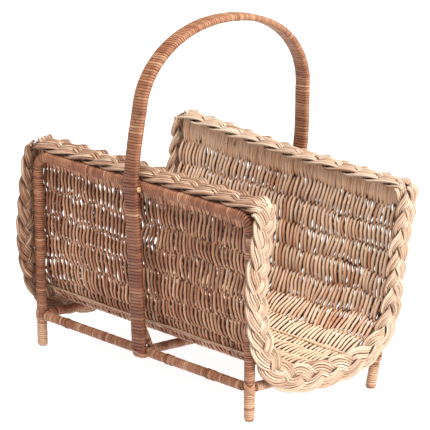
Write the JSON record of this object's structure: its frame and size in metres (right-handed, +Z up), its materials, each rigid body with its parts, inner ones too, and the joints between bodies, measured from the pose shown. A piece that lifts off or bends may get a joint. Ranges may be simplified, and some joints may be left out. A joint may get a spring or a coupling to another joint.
{
  "type": "magazine rack",
  "caption": "Wicker magazine rack: a U-shaped woven trough with a plaited border, held between two leaning cane-wrapped frames and carried by a tall hoop handle.",
  "frame": {"origin": "on the floor, at the middle of the rack's footprint", "axes": "+X along the trough towards the right end, +Y across the trough towards the far wall, +Z up"},
  "size_m": [0.4276, 0.3388, 0.4789],
  "materials": {
    "frame_cane": "red-brown peeled cane wound in close turns, satin",
    "handle_cane": "orange-brown cane wound in close turns, satin",
    "core_rod": "plain rattan rod",
    "tray_willow": "thin woven willow rods, satin",
    "border_willow": "pale plaited willow rods, satin",
    "lashing_cane": "split cane binding, satin"
  },
  "bodies": {
    "root": {"near_frame_rod": "core_rod", "far_frame_rod": "core_rod", "near_left_post_wrap": "frame_cane", "near_right_post_wrap": "frame_cane", "near_top_bar_wrap": "frame_cane", "far_left_post_wrap": "frame_cane", "far_right_post_wrap": "frame_cane", "far_top_bar_wrap": "frame_cane", "near_long_rail": "core_rod", "near_long_rail_wrap": "frame_cane", "far_long_rail": "core_rod", "far_long_rail_wrap": "frame_cane", "left_cross_rail": "core_rod", "left_cross_rail_wrap": "frame_cane", "middle_cross_rail": "core_rod", "middle_cross_rail_wrap": "frame_cane", "right_cross_rail": "core_rod", "right_cross_rail_wrap": "frame_cane", "handle_left_rod": "core_rod", "handle_middle_rod": "core_rod", "handle_right_rod": "core_rod", "handle_wrap": "handle_cane", "near_handle_brace": "frame_cane", "far_handle_brace": "frame_cane", "woven_tray": "tray_willow", "near_outer_seam_rod": "border_willow", "far_outer_seam_rod": "border_willow", "near_inner_seam_rod": "border_willow", "far_inner_seam_rod": "border_willow", "near_top_braid": "border_willow", "far_top_braid": "border_willow", "left_end_braid": "border_willow", "right_end_braid": "border_willow", "near_left_corner_lashing": "lashing_cane", "near_right_corner_lashing": "lashing_cane", "far_left_corner_lashing": "lashing_cane", "far_right_corner_lashing": "lashing_cane", "near_handle_base_lashing": "lashing_cane", "near_handle_top_lashing": "lashing_cane", "far_handle_base_lashing": "lashing_cane", "far_handle_top_lashing": "lashing_cane", "stake_01": "tray_willow", "stake_02": "tray_willow", "stake_03": "tray_willow", "stake_04": "tray_willow", "stake_05": "tray_willow", "stake_06": "tray_willow", "stake_07": "tray_willow", "stake_08": "tray_willow", "stake_09": "tray_willow", "stake_10": "tray_willow", "stake_11": "tray_willow", "stake_12": "tray_willow", "stake_13": "tray_willow", "stake_14": "tray_willow", "stake_15": "tray_willow", "stake_16": "tray_willow", "stake_17": "tray_willow", "stake_18": "tray_willow"}
  },
  "joints": []
}
